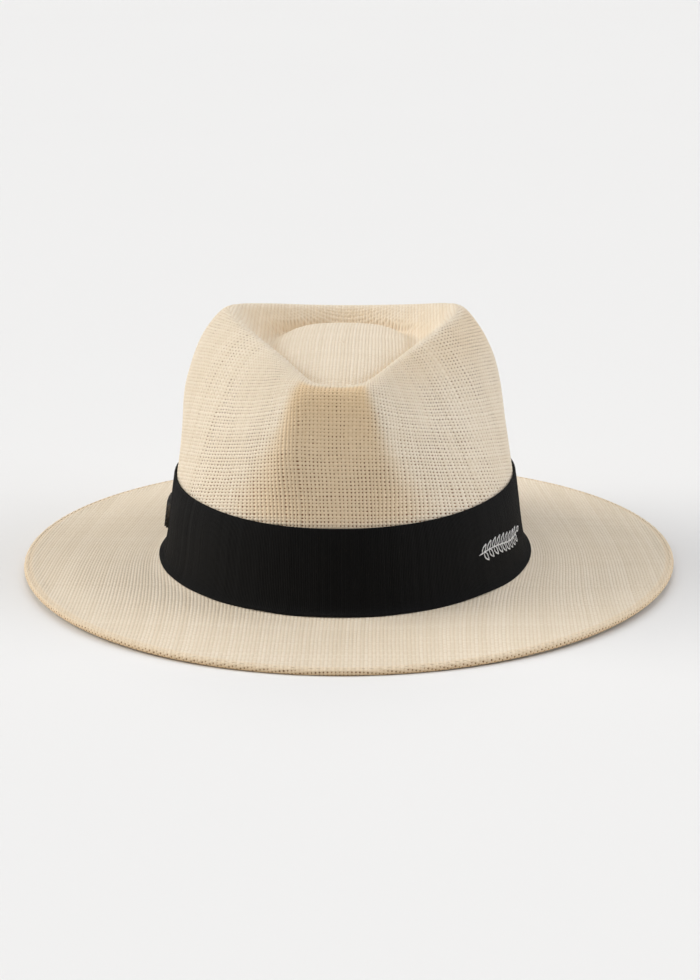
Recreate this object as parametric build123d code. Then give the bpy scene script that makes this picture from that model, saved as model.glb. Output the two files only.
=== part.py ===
"""Straw sun hat: a blocked straw fedora with an elastic band that lifts off the crown.

Frame: millimetres, +Z up, origin on the plane the hat stands on, under its centre.
The front of the hat faces -Y.
"""
import os
from math import cos, pi, sin, tau

from build123d import *

# ---------------------------------------------------------------- driving dimensions
STRAW_THICKNESS = 1.3        # one layer of the woven paper straw
HEM_WIDTH = 7.5              # strip turned under along the brim's edge
HEM_THICKNESS = 2.8          # both layers with the wire between them
HEM_SEAM_INSET = 2.0         # edge stitches, from the brim's edge
WIRE_DIAMETER = 1.2          # spring wire inside the hem
WIRE_INSET = 4.6             # wire centre, from the brim's edge
JOINER_DIAMETER = 1.9        # sleeve over the two ends of the wire
JOINER_LENGTH = 14.0
BAND_THICKNESS = 1.2         # elastic grosgrain round the crown
BAND_GAP = 0.35              # air between the band and the straw
SWEATBAND_THICKNESS = 1.2
SWEATBAND_GAP = 0.3
SWEATBAND_TOP = 40.0         # height of the sweatband's free edge
THREAD = 0.4                 # sewing thread
TAB_WIDTH = 16.0             # strip that covers the band's join at the back
BADGE_LENGTH = 26.0          # metal plate on the side of the band
BADGE_HEIGHT = 12.0
BADGE_CENTRE_HEIGHT = 27.5
BADGE_THICKNESS = 1.1
BADGE_RIBS = 5
LABEL_WIDTH = 24.0
LABEL_HEIGHT = 16.0
LABEL_THICKNESS = 0.4

# The blocked sheet, as rings from the brim's edge to the middle of the crown:
# half width, reach to the front, reach to the back, height at the front, at the sides
# and at the back, how far the front is pinched in (0 to 1), and a shift to the side.
RINGS = [
    (166.0, 176.0, 176.0, 2.8, 5.6, 3.6, 0.0, 0.0),           # brim edge
    (150.0, 160.5, 160.5, 3.4, 5.8, 4.0, 0.0, -0.1),
    (128.0, 139.5, 139.5, 4.6, 6.0, 4.9, 0.0, -0.5),
    (108.0, 121.7, 121.5, 5.6, 6.3, 5.7, 0.0, -1.1),
    (98.6, 114.8, 114.3, 6.3, 6.5, 6.4, 0.0, -1.6),
    (94.0, 111.4, 110.8, 7.4, 7.4, 7.4, 0.0, -1.8),           # break between brim and crown
    (91.4, 109.2, 108.8, 10.5, 10.5, 10.5, 0.0, -1.8),
    (89.9, 107.8, 107.6, 16.5, 16.5, 16.5, 0.0, -1.8),
    (88.6, 106.6, 106.4, 25.0, 25.0, 25.0, 0.0, -1.8),
    (87.2, 105.6, 105.2, 36.0, 36.0, 36.0, 0.0, -1.8),
    (86.4, 104.4, 103.8, 48.5, 48.5, 48.5, 0.04, -1.9),       # top of the band
    (86.4, 101.4, 101.0, 66.0, 67.0, 66.0, 0.18, -2.4),
    (86.2, 97.4, 96.6, 84.0, 86.5, 84.0, 0.33, -3.2),
    (82.8, 93.8, 91.4, 98.0, 101.0, 98.0, 0.41, -3.1),
    (77.9, 91.4, 87.0, 106.4, 112.5, 106.5, 0.46, -3.3),
    (72.4, 88.8, 82.6, 111.4, 121.0, 112.8, 0.49, -3.2),
    (66.8, 85.4, 78.4, 113.2, 127.2, 116.8, 0.52, -2.8),
    (62.3, 81.4, 75.0, 113.2, 129.0, 118.2, 0.53, -2.4),      # ridge round the top
    (57.4, 77.4, 71.8, 111.8, 127.0, 117.0, 0.52, -2.5),
    (52.0, 72.8, 68.0, 109.2, 120.5, 113.6, 0.50, -2.6),
    (46.8, 68.4, 64.4, 106.8, 113.6, 109.8, 0.45, -2.8),
    (42.0, 63.2, 60.6, 106.0, 109.4, 108.6, 0.38, -3.0),      # groove round the dome
    (37.6, 58.4, 56.4, 107.4, 110.4, 111.6, 0.30, -3.0),
    (32.4, 52.0, 50.4, 110.4, 113.4, 114.2, 0.24, -3.0),
    (23.0, 38.0, 38.0, 113.2, 114.9, 115.4, 0.18, -3.0),
    (11.0, 19.0, 19.0, 115.0, 115.5, 115.7, 0.08, -3.0),
    (2.0, 3.4, 3.4, 115.7, 115.7, 115.7, 0.0, -3.0),          # middle of the dome
]
BAND_BOTTOM_RING = 5
BAND_TOP_RING = 10
PINCH_START = 0.5            # the pinch begins this far behind the middle (sine of the angle)
RIDGE_PEAK = 0.3             # the ridge is highest this far behind the middle
NOSE_FLATNESS = 0.4          # flat front facet between the two pinches
FACET_SINE = 0.934           # the front facet spans the angles past this sine
DOME_SQUARENESS = 0.4        # the dome is squarer at its back
RING_POINTS = 48
RINGS_BETWEEN = 2            # lofted rings for each row of the table


# ---------------------------------------------------------------- the blocked sheet
def ease(share):
    """Smooth step from 0 to 1."""
    share = min(max(share, 0.0), 1.0)
    return share * share * (3.0 - 2.0 * share)


def rounded_limit(value):
    """The value, held to at most 1 with a rounded corner."""
    blend = min(max(0.5 + (1 - value) / 0.08, 0.0), 1.0)
    return value * blend + (1 - blend) - 0.04 * blend * (1 - blend)


def ring_values(place):
    """The ring table read at a fractional place, by a Catmull-Rom curve."""
    last = len(RINGS) - 1
    index = min(max(int(place), 0), last - 1)
    part = place - index
    here = RINGS[index]
    after = RINGS[index + 1]
    before = RINGS[index - 1] if index > 0 else [2 * h - a for h, a in zip(here, after)]
    beyond = RINGS[index + 2] if index + 2 <= last else [2 * a - h for h, a in zip(here, after)]
    values = []
    for p0, p1, p2, p3 in zip(before, here, after, beyond):
        square = 2 * p0 - 5 * p1 + 4 * p2 - p3
        cube = 3 * p1 - p0 - 3 * p2 + p3
        values.append(0.5 * (2 * p1 + (p2 - p0) * part + square * part**2 + cube * part**3))
    return values


def sheet_point(place, angle, out=0.0):
    """A point on the sheet's upper face; out widens the ring in plan."""
    half_width, front, back, z_front, z_side, z_back, pinch, shift = ring_values(place)
    along = sin(angle)
    across = cos(angle)
    pinched = pinch * ease((PINCH_START - along) / (1 + PINCH_START))
    squareness = 1 - NOSE_FLATNESS * pinch * ease((-0.35 - along) / 0.65)
    dome_share = ease((place - 19) / 2) * ease((26 - place) / 3)
    squareness -= DOME_SQUARENESS * dome_share * ease((along + 0.3) / 0.9)
    across = abs(across) ** squareness * (1 if across >= 0 else -1)
    facet = ease((place - BAND_TOP_RING) / 2) * ease((19 - place) / 3)
    crown_share = ease((place - BAND_TOP_RING) / 6)
    peak = RIDGE_PEAK * crown_share
    power = 2 - 0.5 * crown_share
    if along < peak:
        height = z_side - (z_side - z_front) * ((peak - along) / (1 + peak)) ** power
    else:
        height = z_side - (z_side - z_back) * ((along - peak) / (1 - peak)) ** power
    x = (half_width + out) * across * (1 - pinched) + shift
    if along < 0:
        along = (1 - facet) * along - facet * rounded_limit(-along / FACET_SINE)
    y = (back - front) / 2 + ((back + front) / 2 + out) * along
    return Vector(x, y, height)


# ---------------------------------------------------------------- rings and shells
def angles():
    return [tau * step / RING_POINTS for step in range(RING_POINTS)]


def closed_wire(points):
    return Wire([Edge.make_spline(points, periodic=True)])


def ring(place, out=0.0, rise=0.0):
    """A ring of the sheet's upper face, widened in plan and moved straight up."""
    return closed_wire([sheet_point(place, a, out) + Vector(0, 0, rise) for a in angles()])


def under_point(place, angle):
    """The point of the sheet's lower face under a point of its upper face."""
    step = 0.02
    round_way = sheet_point(place, angle + step) - sheet_point(place, angle - step)
    inward = sheet_point(place + step, angle) - sheet_point(place - step, angle)
    return sheet_point(place, angle) - round_way.cross(inward).normalized() * STRAW_THICKNESS


def under_ring(place):
    if place == len(RINGS) - 1:
        return ring(place, rise=-STRAW_THICKNESS)
    return closed_wire([under_point(place, a) for a in angles()])


def brim_place(inset):
    """The place of a ring this far in from the brim's edge."""
    return inset / (RINGS[0][0] - RINGS[1][0])


def ring_solid(wires):
    """A closed solid whose section's corners are these rings, in order."""
    faces = []
    for here, after in zip(wires, wires[1:] + wires[:1]):
        faces += Shell.make_loft([here, after], ruled=True).faces()
    return Solid(Shell(faces))


def wall_shell(bottom, top, inner, outer):
    """A ring-shaped solid that follows the crown's wall between two places of the table."""
    steps = int((top - bottom) * RINGS_BETWEEN)
    places = [bottom + (top - bottom) * step / steps for step in range(steps + 1)]
    outside = Solid.make_loft([ring(place, outer) for place in places], ruled=True)
    inside = Solid.make_loft([ring(place, inner) for place in places], ruled=True)
    return outside - inside


def block(x_from, x_to, y_from, y_to, z_from, z_to):
    """A box between two corners."""
    size = (x_to - x_from, y_to - y_from, z_to - z_from)
    return Pos(x_from, y_from, z_from) * Box(*size, align=(Align.MIN, Align.MIN, Align.MIN))


def edge_path(inset, drop, start, end):
    """A line along the brim, this far in from its edge and this far below its face."""
    place = brim_place(inset)
    count = max(round(RING_POINTS * (end - start) / tau), 3)
    turns = [start + (end - start) * step / count for step in range(count + 1)]
    return Edge.make_spline([sheet_point(place, a) - Vector(0, 0, drop) for a in turns])


def cord(path, diameter):
    """A round cord or wire along a path."""
    section = Plane(origin=path @ 0, z_dir=path % 0) * Circle(diameter / 2)
    return sweep(section, path=path)


# ---------------------------------------------------------------- straw and hem
BACK = pi / 2
WIRE_DEPTH = HEM_THICKNESS / 2
JOINER_HALF_ANGLE = JOINER_LENGTH / 2 / RINGS[0][0]
WIRE_END_ANGLE = 0.004       # half of the small gap between the wire's ends


def straw_body():
    """Crown and brim in one blocked sheet, with its edge turned under round the wire."""
    last = len(RINGS) - 1
    edge_place = brim_place(0.7)
    hem_place = brim_place(HEM_WIDTH)
    places = [place / RINGS_BETWEEN for place in range(RINGS_BETWEEN, last * RINGS_BETWEEN + 1)]
    upper = Shell.make_loft([ring(edge_place)] + [ring(place) for place in places], ruled=True)
    lower = Shell.make_loft([under_ring(hem_place)] + [under_ring(place) for place in places], ruled=True)
    groove_outside = brim_place(HEM_SEAM_INSET - THREAD)
    groove_inside = brim_place(HEM_SEAM_INSET + THREAD)
    groove_depth = THREAD + 0.2
    hem_rings = [
        ring(edge_place),
        ring(0, rise=-0.8),
        ring(0, rise=0.8 - HEM_THICKNESS),
        ring(edge_place, rise=-HEM_THICKNESS),
        ring(groove_outside, rise=-HEM_THICKNESS),
        ring(groove_outside, rise=groove_depth - HEM_THICKNESS),
        ring(groove_inside, rise=groove_depth - HEM_THICKNESS),
        ring(groove_inside, rise=-HEM_THICKNESS),
        ring(hem_place, rise=-HEM_THICKNESS),
        under_ring(hem_place),
    ]
    hem = Shell.make_loft(hem_rings, ruled=True)
    middle = [Face(ring(last)), Face(under_ring(last))]
    body = Solid(Shell(upper.faces() + lower.faces() + hem.faces() + middle))
    for start, end in ((BACK, BACK + pi), (BACK + pi, BACK + tau)):
        body -= cord(edge_path(WIRE_INSET, WIRE_DEPTH, start, end), WIRE_DIAMETER + 0.1)
    sleeve_path = edge_path(WIRE_INSET, WIRE_DEPTH, BACK - JOINER_HALF_ANGLE, BACK + JOINER_HALF_ANGLE)
    return body - cord(sleeve_path, JOINER_DIAMETER + 0.1)


def brim_wire():
    """The spring wire, its two ends meeting at the back."""
    start = BACK + WIRE_END_ANGLE
    return cord(edge_path(WIRE_INSET, WIRE_DEPTH, start, BACK + tau - WIRE_END_ANGLE), WIRE_DIAMETER)


def brim_wire_joiner():
    """The sleeve that holds the wire's two ends."""
    half = JOINER_HALF_ANGLE * 0.96
    path = edge_path(WIRE_INSET, WIRE_DEPTH, BACK - half, BACK + half)
    return cord(path, JOINER_DIAMETER) - cord(path, WIRE_DIAMETER + 0.1)


def hem_stitching():
    """The seam's upper and lower thread, as two thin rings."""
    outside = brim_place(HEM_SEAM_INSET - THREAD / 2)
    inside = brim_place(HEM_SEAM_INSET + THREAD / 2)
    threads = []
    for low in (0.1, 0.15 - HEM_THICKNESS):
        corners = [(outside, low), (inside, low), (inside, low + THREAD), (outside, low + THREAD)]
        threads.append(ring_solid([ring(place, rise=rise) for place, rise in corners]))
    return Compound(children=threads)


# ---------------------------------------------------------------- sweatband
SWEATBAND_OUTER = -(STRAW_THICKNESS + SWEATBAND_GAP + 0.1)
SWEATBAND_INNER = SWEATBAND_OUTER - SWEATBAND_THICKNESS
SWEATBAND_BOTTOM_RING = 6
SWEATBAND_BOTTOM = RINGS[SWEATBAND_BOTTOM_RING][4]
FAR = 200.0                  # past every side of the hat


def inside_strip(inner, outer, x_from, x_to, z_from, z_to):
    """A piece of the ring just inside the crown's wall, at the back of the hat."""
    shell = wall_shell(SWEATBAND_BOTTOM_RING, BAND_TOP_RING, inner, outer)
    return shell & block(x_from, x_to, 0, FAR, z_from, z_to)


def sweatband():
    """A woven band round the inside of the crown, sewn in at its lower edge."""
    shell = wall_shell(SWEATBAND_BOTTOM_RING, BAND_TOP_RING, SWEATBAND_INNER, SWEATBAND_OUTER)
    return shell & block(-FAR, FAR, -FAR, FAR, 0, SWEATBAND_TOP)


def sweatband_stitching():
    """The line of thread that holds the sweatband's lower edge."""
    shell = wall_shell(SWEATBAND_BOTTOM_RING, BAND_TOP_RING, SWEATBAND_INNER - THREAD, SWEATBAND_INNER)
    height = SWEATBAND_BOTTOM + 2.5
    return shell & block(-FAR, FAR, -FAR, FAR, height, height + THREAD)


def sweatband_join_stitching():
    """Two rows of thread where the sweatband's ends meet at the back."""
    rows = []
    for x in (-2.0, 2.0):
        low = SWEATBAND_BOTTOM + 4
        inner = SWEATBAND_INNER - THREAD
        rows.append(inside_strip(inner, SWEATBAND_INNER, x - 0.2, x + 0.2, low, SWEATBAND_TOP - 1))
    return Compound(children=rows)


def size_label():
    """A blank woven label on the sweatband, beside the join."""
    outer = SWEATBAND_INNER - 0.1
    inner = outer - LABEL_THICKNESS
    low = SWEATBAND_BOTTOM + 4
    return inside_strip(inner, outer, 8, 8 + LABEL_WIDTH, low, low + LABEL_HEIGHT)


# ---------------------------------------------------------------- band
BAND_OUTER = BAND_GAP + BAND_THICKNESS
BADGE_BOTTOM = BADGE_CENTRE_HEIGHT - BADGE_HEIGHT / 2
RIB_PITCH = BADGE_HEIGHT / BADGE_RIBS
PRONG_OFFSET = 8.0
PRONG_WIDTH = 3.0
PRONG_HEIGHT = 1.0
PLATE_LENGTH = 22.0
PLATE_HEIGHT = 7.0
PLATE_THICKNESS = 0.4


def side_piece(inner, outer, length, z_from, z_to, y_middle=0.0):
    """A piece of the ring round the crown, on the hat's right side (-X)."""
    shell = wall_shell(BAND_BOTTOM_RING, BAND_TOP_RING, inner, outer)
    return shell & block(-FAR, 0, y_middle - length / 2, y_middle + length / 2, z_from, z_to)


def prong(y, clearance, inner, outer=BAND_OUTER + 1):
    """One prong of the badge, from its plate inwards."""
    half = PRONG_HEIGHT / 2 + clearance
    width = PRONG_WIDTH + 2 * clearance
    return side_piece(inner, outer, width, BADGE_CENTRE_HEIGHT - half, BADGE_CENTRE_HEIGHT + half, y)


def backing_plate(clearance):
    """The thin plate behind the band that the badge's prongs pass through."""
    half = PLATE_HEIGHT / 2 + clearance
    outer = BAND_GAP + PLATE_THICKNESS + clearance
    length = PLATE_LENGTH + 2 * clearance
    low = BADGE_CENTRE_HEIGHT - half
    inner = BAND_GAP + 0.05 - clearance
    return side_piece(inner, outer, length, low, low + 2 * half)


def hat_band():
    """The elastic grosgrain ring, flared where it runs onto the brim."""
    band = wall_shell(BAND_BOTTOM_RING, BAND_TOP_RING, BAND_GAP, BAND_OUTER)
    band -= backing_plate(0.1)
    for y in (-PRONG_OFFSET, PRONG_OFFSET):
        band -= prong(y, 0.1, 0)
    return band


def band_join_tab():
    """The strip that covers the band's join at the back."""
    shell = wall_shell(BAND_BOTTOM_RING, BAND_TOP_RING, BAND_OUTER + 0.05, BAND_OUTER + 0.85)
    return shell & block(-TAB_WIDTH / 2, TAB_WIDTH / 2, 0, FAR, 0, FAR)


def band_join_stitching():
    """Two rows of thread along the tab's sides."""
    shell = wall_shell(BAND_BOTTOM_RING, BAND_TOP_RING, BAND_OUTER + 0.85, BAND_OUTER + 0.85 + THREAD)
    top = RINGS[BAND_TOP_RING][4] - 1.5
    rows = []
    for x in (-TAB_WIDTH / 2 + 2, TAB_WIDTH / 2 - 2):
        rows.append(shell & block(x - 0.2, x + 0.2, 0, FAR, 10, top))
    return Compound(children=rows)


def badge_plate():
    """A ribbed metal plate with two prongs on its back."""
    face = BAND_OUTER + 0.05
    top = BADGE_BOTTOM + BADGE_HEIGHT
    plate = side_piece(face, face + BADGE_THICKNESS, BADGE_LENGTH, BADGE_BOTTOM, top)
    for rib in range(BADGE_RIBS):
        low = BADGE_BOTTOM + (rib + 0.22) * RIB_PITCH
        high = low + 0.56 * RIB_PITCH
        plate += side_piece(face + 0.5, face + 2.0, BADGE_LENGTH - 2, low, high)
    for y in (-PRONG_OFFSET, PRONG_OFFSET):
        plate += prong(y, 0, BAND_GAP + 0.05, face + 0.5)
    return plate


def badge_backing_plate():
    """The backing plate with a slot for each prong."""
    plate = backing_plate(0)
    for y in (-PRONG_OFFSET, PRONG_OFFSET):
        plate -= prong(y, 0.05, 0)
    return plate


# ---------------------------------------------------------------- files
NODES = [
    straw_body,
    brim_wire,
    brim_wire_joiner,
    hem_stitching,
    sweatband,
    sweatband_stitching,
    sweatband_join_stitching,
    size_label,
    hat_band,
    band_join_tab,
    band_join_stitching,
    badge_plate,
    badge_backing_plate,
]

os.makedirs("parts", exist_ok=True)
for node in NODES:
    export_step(node(), f"parts/{node.__name__}.step")
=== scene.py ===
"""The looks of the straw sun hat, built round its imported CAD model. Shapes are worked out in mm."""

from math import cos, pi, radians, sin, tau

import bpy
import numpy as np
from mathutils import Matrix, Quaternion, Vector


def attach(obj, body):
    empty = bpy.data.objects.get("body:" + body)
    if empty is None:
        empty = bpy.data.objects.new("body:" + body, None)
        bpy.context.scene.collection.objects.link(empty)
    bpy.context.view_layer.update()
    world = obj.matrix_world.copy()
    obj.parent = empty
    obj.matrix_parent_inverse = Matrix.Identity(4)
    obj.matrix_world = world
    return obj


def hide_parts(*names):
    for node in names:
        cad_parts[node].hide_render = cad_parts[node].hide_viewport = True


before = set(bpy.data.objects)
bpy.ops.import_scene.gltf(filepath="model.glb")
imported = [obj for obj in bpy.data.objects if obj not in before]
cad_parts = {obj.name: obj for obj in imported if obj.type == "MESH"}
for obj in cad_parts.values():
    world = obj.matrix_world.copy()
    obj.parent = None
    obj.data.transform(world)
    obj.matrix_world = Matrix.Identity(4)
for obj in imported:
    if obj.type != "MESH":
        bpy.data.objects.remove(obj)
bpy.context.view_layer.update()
MM = 0.001
rng = np.random.default_rng(7)

# ---------------------------------------------------------------- sizes, in mm
STRAW_THICKNESS = 1.3
HEM_WIDTH = 7.5
HEM_THICKNESS = 2.8
HEM_SEAM_INSET = 2.0
WIRE_INSET = 4.6             # the wire in the hem lies this far in from the brim's edge
BAND_GAP = 0.35
BAND_THICKNESS = 1.2
BAND_OUTER = BAND_GAP + BAND_THICKNESS
THREAD_PITCH = 1.86          # one paper-straw thread to the next
ROW_TILT = 0.27              # the rows ride up towards the front of the crown
RIB_PITCH = 0.9              # the band's fine upright ribs
DRAWN_APART = 22             # columns of thread that each flank has fewer of than an even weave
FLAT_PITCH = 0.9 * THREAD_PITCH    # on the brim and the top, where the blocking drew the weave less
RELIEF = 0.17                # half of a thread's rise and fall as it weaves
THREAD_DEPTH = 0.36          # from a thread's top down to the gap beside it
SWEATBAND_OUTER = -1.7       # how far its outer face stands from the straw's upper face
SWEATBAND_THICKNESS = 1.2
THREADS_STAND_OUT = 0.05     # a tape's ribs rise this far from its CAD face at most

# The blocked sheet's rings, as in the CAD: half width, reach to the front and to the back,
# height at the front, sides and back, how far the front is pinched in, and a shift sideways.
RINGS = np.array([
    (166.0, 176.0, 176.0, 2.8, 5.6, 3.6, 0.0, 0.0),
    (150.0, 160.5, 160.5, 3.4, 5.8, 4.0, 0.0, -0.1),
    (128.0, 139.5, 139.5, 4.6, 6.0, 4.9, 0.0, -0.5),
    (108.0, 121.7, 121.5, 5.6, 6.3, 5.7, 0.0, -1.1),
    (98.6, 114.8, 114.3, 6.3, 6.5, 6.4, 0.0, -1.6),
    (94.0, 111.4, 110.8, 7.4, 7.4, 7.4, 0.0, -1.8),
    (91.4, 109.2, 108.8, 10.5, 10.5, 10.5, 0.0, -1.8),
    (89.9, 107.8, 107.6, 16.5, 16.5, 16.5, 0.0, -1.8),
    (88.6, 106.6, 106.4, 25.0, 25.0, 25.0, 0.0, -1.8),
    (87.2, 105.6, 105.2, 36.0, 36.0, 36.0, 0.0, -1.8),
    (86.4, 104.4, 103.8, 48.5, 48.5, 48.5, 0.04, -1.9),
    (86.4, 101.4, 101.0, 66.0, 67.0, 66.0, 0.18, -2.4),
    (86.2, 97.4, 96.6, 84.0, 86.5, 84.0, 0.33, -3.2),
    (82.8, 93.8, 91.4, 98.0, 101.0, 98.0, 0.41, -3.1),
    (77.9, 91.4, 87.0, 106.4, 112.5, 106.5, 0.46, -3.3),
    (72.4, 88.8, 82.6, 111.4, 121.0, 112.8, 0.49, -3.2),
    (66.8, 85.4, 78.4, 113.2, 127.2, 116.8, 0.52, -2.8),
    (62.3, 81.4, 75.0, 113.2, 129.0, 118.2, 0.53, -2.4),
    (57.4, 77.4, 71.8, 111.8, 127.0, 117.0, 0.52, -2.5),
    (52.0, 72.8, 68.0, 109.2, 120.5, 113.6, 0.50, -2.6),
    (46.8, 68.4, 64.4, 106.8, 113.6, 109.8, 0.45, -2.8),
    (42.0, 63.2, 60.6, 106.0, 109.4, 108.6, 0.38, -3.0),
    (37.6, 58.4, 56.4, 107.4, 110.4, 111.6, 0.30, -3.0),
    (32.4, 52.0, 50.4, 110.4, 113.4, 114.2, 0.24, -3.0),
    (23.0, 38.0, 38.0, 113.2, 114.9, 115.4, 0.18, -3.0),
    (11.0, 19.0, 19.0, 115.0, 115.5, 115.7, 0.08, -3.0),
    (2.0, 3.4, 3.4, 115.7, 115.7, 115.7, 0.0, -3.0),
])
EDGE_RING_STEP = RINGS[0, 0] - RINGS[1, 0]
BREAK_RING = 5               # where the brim turns up into the crown
BAND_TOP_RING = 10
RIDGE_RING = 17
DOME_RING = 26
LAST_RING = len(RINGS) - 1
SWEATBAND_LOW, SWEATBAND_HIGH, SWEATBAND_SEAM = 6, 9.32, 6.42
PINCH_START = 0.5
RIDGE_PEAK = 0.3
NOSE_FLATNESS = 0.4
FACET_SINE = 0.934
DOME_SQUARENESS = 0.4
DOME_CENTRE = -3.0
DOME_TOP = 115.75
HIDDEN_PLACE = 9.9           # the wall below this is under the band, and is laid coarsely
COLUMNS = 1536               # points round the finest rings
EDGE_RADIUS = 1.0
EDGE_STEPS = 9


# ---------------------------------------------------------------- the blocked sheet
def ease(share):
    """Smooth step from 0 to 1."""
    share = np.clip(share, 0.0, 1.0)
    return share * share * (3.0 - 2.0 * share)


def rounded_limit(value):
    """The value, held to at most 1 with a rounded corner."""
    blend = np.clip(0.5 + (1 - value) / 0.08, 0, 1)
    return value * blend + (1 - blend) - 0.04 * blend * (1 - blend)


def ring_values(place):
    """The ring table read at fractional places, by a Catmull-Rom curve."""
    table = np.vstack([2 * RINGS[0] - RINGS[1], RINGS, 2 * RINGS[-1] - RINGS[-2]])
    index = np.clip(place.astype(int), 0, LAST_RING - 1)
    part = (place - index)[..., None]
    p0, p1, p2, p3 = (table[index + step] for step in range(4))
    square = 2 * p0 - 5 * p1 + 4 * p2 - p3
    cube = 3 * p1 - p0 - 3 * p2 + p3
    values = 0.5 * (2 * p1 + (p2 - p0) * part + square * part**2 + cube * part**3)
    return np.moveaxis(values, -1, 0)


def sheet(place, angle, out=0.0):
    """Points on the sheet's upper face; out widens the rings in plan."""
    place, angle, out = np.broadcast_arrays(np.asarray(place, float), angle, out)
    half_width, front, back, z_front, z_side, z_back, pinch, shift = ring_values(place)
    along = np.sin(angle)
    across = np.cos(angle)
    pinched = pinch * ease((PINCH_START - along) / (1 + PINCH_START))
    squareness = 1 - NOSE_FLATNESS * pinch * ease((-0.35 - along) / 0.65)
    dome_share = ease((place - 19) / 2) * ease((26 - place) / 3)
    squareness = squareness - DOME_SQUARENESS * dome_share * ease((along + 0.3) / 0.9)
    across = np.sign(across) * np.abs(across) ** squareness
    facet = ease((place - 10) / 2) * ease((19 - place) / 3)
    crown_share = ease((place - BAND_TOP_RING) / 6)
    peak = RIDGE_PEAK * crown_share
    power = 2 - 0.5 * crown_share
    ahead = np.maximum(peak - along, 0) / (1 + peak)
    behind = np.maximum(along - peak, 0) / (1 - peak)
    height = z_side - (z_side - z_front) * ahead**power - (z_side - z_back) * behind**power
    x = (half_width + out) * across * (1 - pinched) + shift
    reach = np.where(along < 0, (1 - facet) * along - facet * rounded_limit(-along / FACET_SINE), along)
    y = (back - front) / 2 + ((back + front) / 2 + out) * reach
    return np.stack([x, y, height], -1)


def unit(vectors):
    return vectors / np.maximum(np.linalg.norm(vectors, axis=-1, keepdims=True), 1e-9)


def sheet_normal(place, angle):
    """The sheet's outward direction."""
    place, angle = np.broadcast_arrays(np.asarray(place, float), angle)
    step = 0.02
    round_way = sheet(place, angle + step) - sheet(place, angle - step)
    high = np.minimum(place + step, LAST_RING)
    inward = sheet(high, angle) - sheet(np.maximum(place - step, 0), angle)
    return unit(np.cross(round_way, inward))


def drift(points, wavelength, seed):
    """A smooth random field over the hat, about -1 to 1."""
    source = np.random.default_rng(seed)
    total = 0.0
    for _ in range(9):
        direction = unit(source.normal(size=3))
        frequency = tau / (wavelength * source.uniform(0.7, 1.6))
        total = total + np.sin(points @ (direction * frequency) + source.uniform(0, tau))
    return total / 3


def angles(count):
    """The angles of a ring's columns, starting and ending at the back; the front is half way."""
    return radians(-270) + tau * np.arange(count + 1) / count


def even_angles(place, count, out=0.0):
    """Angles that divide one ring into equal lengths, starting and ending at the back."""
    fine = angles(4800)
    line = sheet(place, fine, out)
    travelled = np.concatenate([[0.0], np.cumsum(np.linalg.norm(np.diff(line, axis=0), axis=-1))])
    return np.interp(np.linspace(0, travelled[-1], count + 1), travelled, fine), travelled[-1]


def rows(start, end, spacing):
    """Places from one ring to another, evenly spaced along the sheet."""
    fine = np.linspace(start, end, 400)
    line = sheet(fine[:, None], angles(24)[None, :-1])
    steps = np.linalg.norm(np.diff(line, axis=0), axis=-1).mean(1)
    travelled = np.concatenate([[0.0], np.cumsum(steps)])
    count = max(2, round(travelled[-1] / spacing)) + 1
    return np.interp(np.linspace(0, travelled[-1], count), travelled, fine)


# ---------------------------------------------------------------- meshes
def make_object(name, points, faces, corner_uv=None, tags=None):
    """An object from points in mm and blocks of faces; corner_uv gives each corner's thread place."""
    corners = np.concatenate([block.ravel() for block in faces]).astype(np.int32)
    sizes = np.concatenate([np.full(len(block), block.shape[1]) for block in faces])
    starts = np.concatenate([[0], np.cumsum(sizes)[:-1]]).astype(np.int32)
    mesh = bpy.data.meshes.new(name)
    mesh.vertices.add(len(points))
    mesh.vertices.foreach_set("co", (np.asarray(points) * MM).astype(np.float32).ravel())
    mesh.loops.add(len(corners))
    mesh.loops.foreach_set("vertex_index", corners)
    mesh.polygons.add(len(sizes))
    mesh.polygons.foreach_set("loop_start", starts)
    mesh.polygons.foreach_set("use_smooth", np.ones(len(sizes), bool))
    if corner_uv is not None:
        layer = mesh.uv_layers.new(name="threads")
        flat = np.concatenate([block.reshape(-1, 2) for block in corner_uv]).astype(np.float32)
        layer.uv.foreach_set("vector", flat.ravel())
    for tag, values in (tags or {}).items():
        attribute = mesh.attributes.new(tag, "FLOAT", "POINT")
        attribute.data.foreach_set("value", np.asarray(values, np.float32))
    mesh.update(calc_edges=True)
    mesh.validate()
    item = bpy.data.objects.new(name, mesh)
    bpy.context.scene.collection.objects.link(item)
    return item


def paint(item, material):
    item.data.materials.clear()
    item.data.materials.append(material)
    return item


# ---------------------------------------------------------------- where the threads run
REF_ROWS, REF_COLUMNS = 144, 960
REF_PLACES = np.linspace(BREAK_RING, RIDGE_RING, REF_ROWS + 1)
REF_ANGLES = angles(REF_COLUMNS)
ref_points = sheet(REF_PLACES[:, None], REF_ANGLES[None, :])
round_steps = np.linalg.norm(np.diff(ref_points, axis=1), axis=-1)
ref_round = np.pad(np.cumsum(round_steps, axis=1), ((0, 0), (1, 0)))
ref_round -= ref_round[:, [REF_COLUMNS // 2]]
up_steps = np.linalg.norm(np.diff(ref_points, axis=0), axis=-1)
ref_up = np.pad(np.cumsum(up_steps, axis=0), ((1, 0), (0, 0)))
band_top_row = ref_round[np.argmin(np.abs(REF_PLACES - BAND_TOP_RING))]
ROUND_THREADS = 2 * round((band_top_row[-1] - band_top_row[0]) / THREAD_PITCH / 2)
even_round = band_top_row / (band_top_row[-1] - band_top_row[0]) * ROUND_THREADS


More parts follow.
